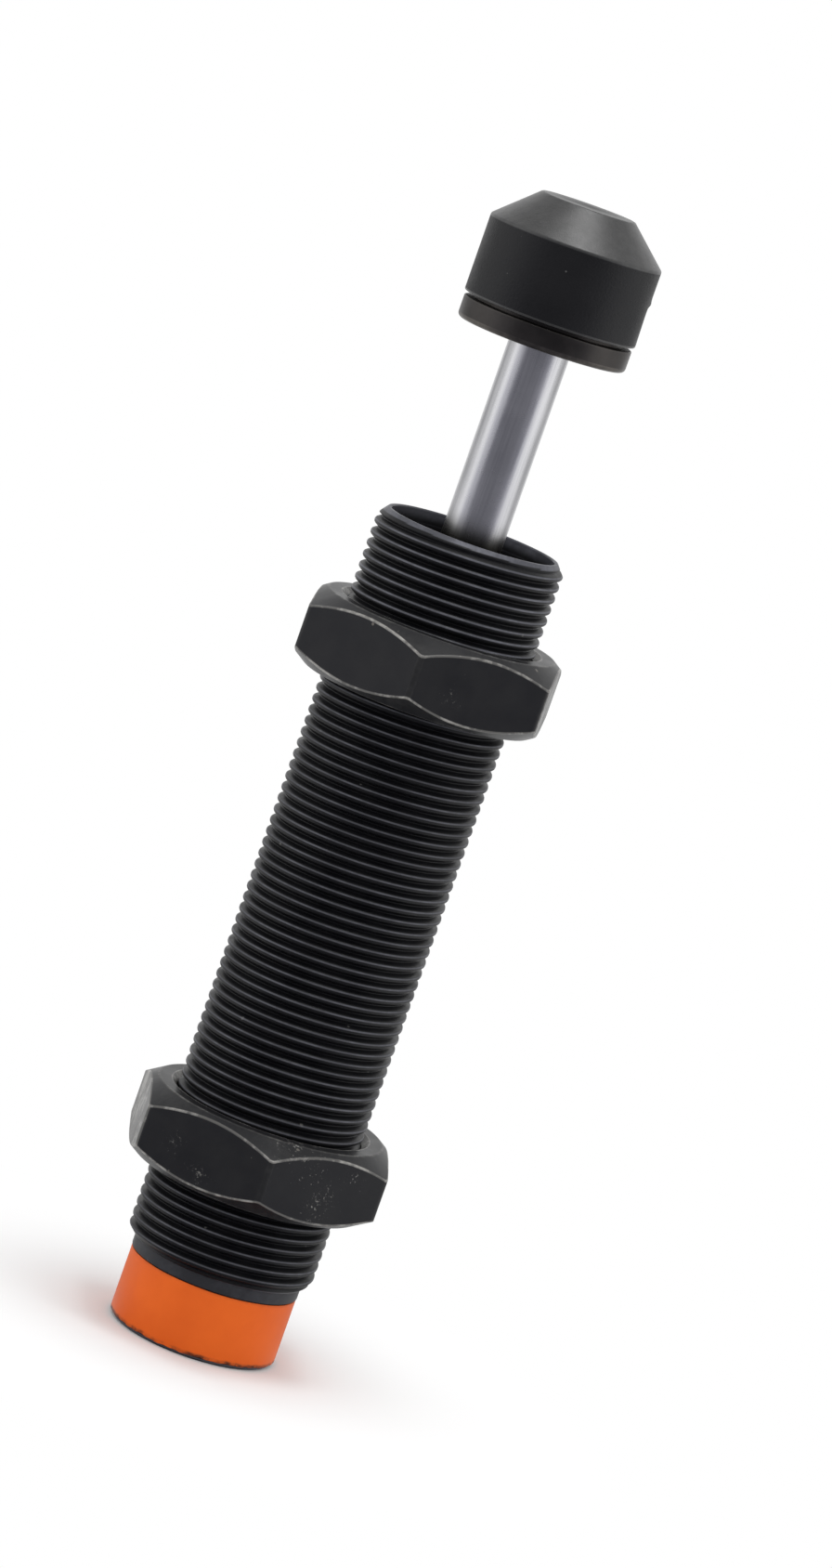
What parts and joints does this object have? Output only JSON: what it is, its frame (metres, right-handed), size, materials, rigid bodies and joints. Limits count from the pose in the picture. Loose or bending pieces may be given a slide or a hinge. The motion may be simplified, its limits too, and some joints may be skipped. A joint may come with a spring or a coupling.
{
  "type": "industrial shock absorber",
  "caption": "Hydraulic shock absorber with a threaded barrel, hexagon lock nuts, and a capped button on a sliding rod that is damped and sprung back.",
  "frame": {"origin": "centre of the closed rear face, on which it stands", "axes": "+Z along the rod towards the bumper cap, -Y towards the near side of the picture"},
  "size_m": [0.034, 0.0368, 0.1536],
  "materials": {
    "body_black": "black oxide, satin",
    "nut_black": "black oxide, worn bright at the edges",
    "cap_polymer": "matt black, fine grained",
    "button_steel": "dark brownish oxide",
    "rod_bright": "ground and polished",
    "label_orange": "satin orange, chipped at the lower edge",
    "steel_plain": "turned",
    "steel_spring": "oil tempered",
    "screw_zinc": "plated",
    "bronze": "turned bronze",
    "seal_rubber": "satin black",
    "seal_hard": "waxy off-white",
    "washer_polymer": "amber polymer",
    "foam": "closed-cell foam"
  },
  "bodies": {
    "barrel": {"body_tube": "body_black", "label_sleeve": "label_orange", "filler_screw": "screw_zinc", "filler_seal": "seal_rubber", "pressure_tube": "steel_plain", "spring_seat": "steel_plain", "return_spring": "steel_spring", "rod_bearing": "steel_plain", "guide_bush": "bronze", "accumulator_foam": "foam", "rebound_washer": "washer_polymer", "gland": "steel_plain", "gland_o_ring": "seal_rubber", "rod_seal": "seal_rubber", "backup_ring": "seal_hard", "wiper_ring": "seal_rubber", "retaining_ring": "steel_spring"},
    "piston_ring_slide": {"piston_ring": "seal_hard"},
    "rod": {"piston_rod": "rod_bright", "piston": "bronze", "piston_nut": "steel_plain", "strike_button": "button_steel", "bumper_cap": "cap_polymer"},
    "check_plate": {"check_ring": "steel_spring"},
    "front_lock_nut": {"front_nut": "nut_black"},
    "rear_lock_nut": {"rear_nut": "nut_black"}
  },
  "joints": [
    {"name": "rod_slide", "type": "slide", "parent": "barrel", "child": "piston_ring_slide", "axis": [0, 0, 1], "range_m": [-0.02535, 0], "stiffness_N_per_m": 640, "springref_m": 0.0172, "deforming": ["return_spring"]},
    {"name": "rod_spin", "type": "hinge", "parent": "piston_ring_slide", "child": "rod", "pos_m": [0, 0, 0.1], "axis": [0, 0, 1], "continuous": true},
    {"name": "check_ring_float", "type": "slide", "parent": "rod", "child": "check_plate", "axis": [0, 0, 1], "range_m": [0, 0.0005]},
    {"name": "front_nut_travel", "type": "slide", "parent": "barrel", "child": "front_lock_nut", "axis": [0, 0, 1], "range_m": [-0.028, 0.01]},
    {"name": "rear_nut_travel", "type": "slide", "parent": "barrel", "child": "rear_lock_nut", "axis": [0, 0, 1], "range_m": [-0.0096, 0.028]}
  ]
}
